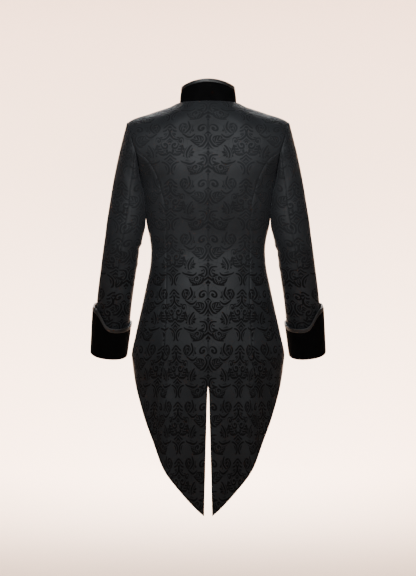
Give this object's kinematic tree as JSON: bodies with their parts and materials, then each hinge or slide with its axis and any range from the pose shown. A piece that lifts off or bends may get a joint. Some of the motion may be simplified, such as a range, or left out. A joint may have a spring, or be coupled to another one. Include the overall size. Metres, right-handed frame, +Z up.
{
  "type": "tailcoat",
  "caption": "Fitted tailcoat, filled out as when worn, with a standing collar, turned-back winged cuffs, a cutaway front and long curved tails.",
  "frame": {"origin": "the middle of the neck, at the height of the two points where the shoulder seams meet the neckline", "axes": "+X to the wearer's left, +Y out of the back, +Z up; the front faces -Y"},
  "size_m": [0.6442, 0.2589, 1.1671],
  "materials": {
    "brocade": "woven black brocade, satin leaves on a matte ground",
    "velvet": "deep black velvet",
    "satin": "dull black satin edging",
    "button": "plain black"
  },
  "bodies": {
    "root": {"back_left": "brocade", "back_right": "brocade", "side_back_left": "brocade", "side_back_right": "brocade", "front_left": "brocade", "front_right": "brocade", "upper_sleeve_left": "brocade", "upper_sleeve_right": "brocade", "under_sleeve_left": "brocade", "under_sleeve_right": "brocade", "cuff_left": "velvet", "cuff_right": "velvet", "cuff_binding_left": "satin", "cuff_binding_right": "satin", "collar": "velvet", "collar_binding": "satin", "button_1": "button", "button_2": "button", "button_3": "button", "button_4": "button", "button_5": "button", "button_6": "button"}
  },
  "joints": []
}
